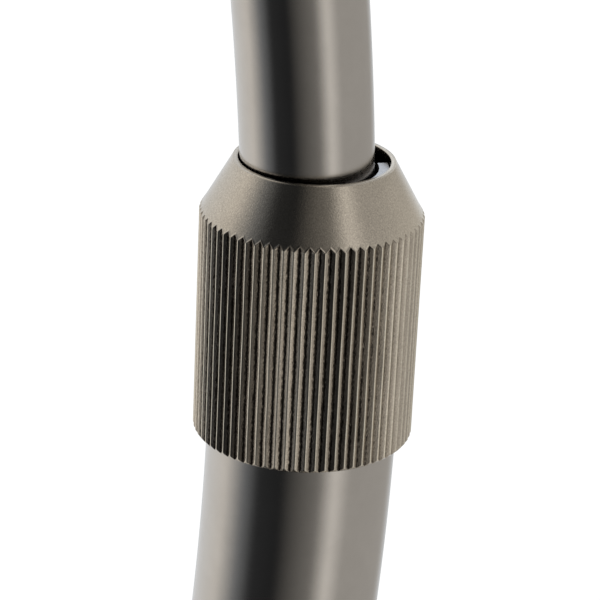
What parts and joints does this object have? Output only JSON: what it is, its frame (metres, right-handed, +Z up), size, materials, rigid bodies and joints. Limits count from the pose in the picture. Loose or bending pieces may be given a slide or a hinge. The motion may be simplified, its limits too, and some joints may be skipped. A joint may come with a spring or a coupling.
{
  "type": "carpet knee kicker",
  "caption": "Carpet stretching knee kicker: toothed cast head, telescoping bowed tube shaft with a fluted clamping collar, and a padded knee bumper.",
  "frame": {"origin": "middle of the tool on the surface it stands on, under the centre of its box", "axes": "+X along the tool towards the toothed head, +Z up"},
  "size_m": [0.508, 0.132, 0.124],
  "materials": {
    "brushed_tube": "brushed",
    "satin_nickel": "satin, fine blasted",
    "collet_steel": "turned",
    "turned_steel": "turned",
    "cast_alloy": "sand cast, satin",
    "zinc_bolt": "zinc plated",
    "plywood": "plain",
    "foam": "open foam",
    "pad_leather": "grained",
    "tack_nickel": "polished",
    "nylon": "plain",
    "plate_steel": "ground",
    "seal_rubber": "matt",
    "dial_steel": "satin",
    "carrier_alloy": "machined",
    "pin_steel": "ground"
  },
  "bodies": {
    "handle": {"outer_tube": "brushed_tube", "ferrule": "turned_steel", "pad_bracket": "cast_alloy", "bracket_bolt": "zinc_bolt", "bracket_nut": "zinc_bolt", "pad_washers": "zinc_bolt", "pad_bolts": "zinc_bolt", "pad_tee_nuts": "zinc_bolt", "pad_board": "plywood", "pad_foam": "foam", "pad_cover": "pad_leather", "cover_tacks": "tack_nickel"},
    "front": {"inner_tube": "brushed_tube", "guide_bush": "nylon", "bush_pin": "turned_steel", "head_body": "cast_alloy", "head_base_plate": "plate_steel", "base_screws": "zinc_bolt", "guide_posts": "turned_steel", "dial_washers": "zinc_bolt", "head_bolt": "zinc_bolt", "head_nut": "zinc_bolt"},
    "collet_set": {"collet": "collet_steel", "thrust_washer": "collet_steel"},
    "collar": {"collar": "satin_nickel", "dust_seal": "seal_rubber"},
    "main_dial": {"main_dial": "dial_steel", "main_dial_clip": "turned_steel"},
    "main_lift": {"main_pin_carrier": "carrier_alloy", "main_pins": "pin_steel"},
    "nap_dial": {"nap_dial": "dial_steel", "nap_dial_clip": "turned_steel"},
    "nap_lift": {"nap_pin_carrier": "carrier_alloy", "nap_pins": "pin_steel"}
  },
  "joints": [
    {"name": "length_adjust", "type": "hinge", "parent": "handle", "child": "front", "pos_m": [-0.049, 0, -0.527], "axis": [0, 1, 0], "range_deg": [-3.8, 5.7]},
    {"name": "clamp_feed", "type": "slide", "parent": "handle", "child": "collet_set", "axis": [0.9962, 0, -0.0872], "range_m": [0, 0.0015]},
    {"name": "collar_turn", "type": "hinge", "parent": "collet_set", "child": "collar", "pos_m": [-0.00667, 0, 0.07159], "axis": [0.9962, 0, -0.0872], "range_deg": [0, 360]},
    {"name": "main_dial_turn", "type": "hinge", "parent": "front", "child": "main_dial", "pos_m": [0.207, 0, 0.036], "axis": [0, 0, 1], "range_deg": [0, 360]},
    {"name": "main_pin_drop", "type": "slide", "parent": "front", "child": "main_lift", "axis": [0, 0, -1], "range_m": [0, 0.008]},
    {"name": "nap_dial_turn", "type": "hinge", "parent": "front", "child": "nap_dial", "pos_m": [0.236, 0, 0.036], "axis": [0, 0, 1], "range_deg": [0, 360]},
    {"name": "nap_pin_drop", "type": "slide", "parent": "front", "child": "nap_lift", "axis": [0, 0, -1], "range_m": [0, 0.004]}
  ],
  "couplings": [
    {"joint": "collar_turn", "follows": "clamp_feed", "rad_per_m": 4188.8},
    {"joint": "main_dial_turn", "follows": "main_pin_drop", "rad_per_m": 785.4},
    {"joint": "nap_dial_turn", "follows": "nap_pin_drop", "rad_per_m": 1570.8}
  ]
}
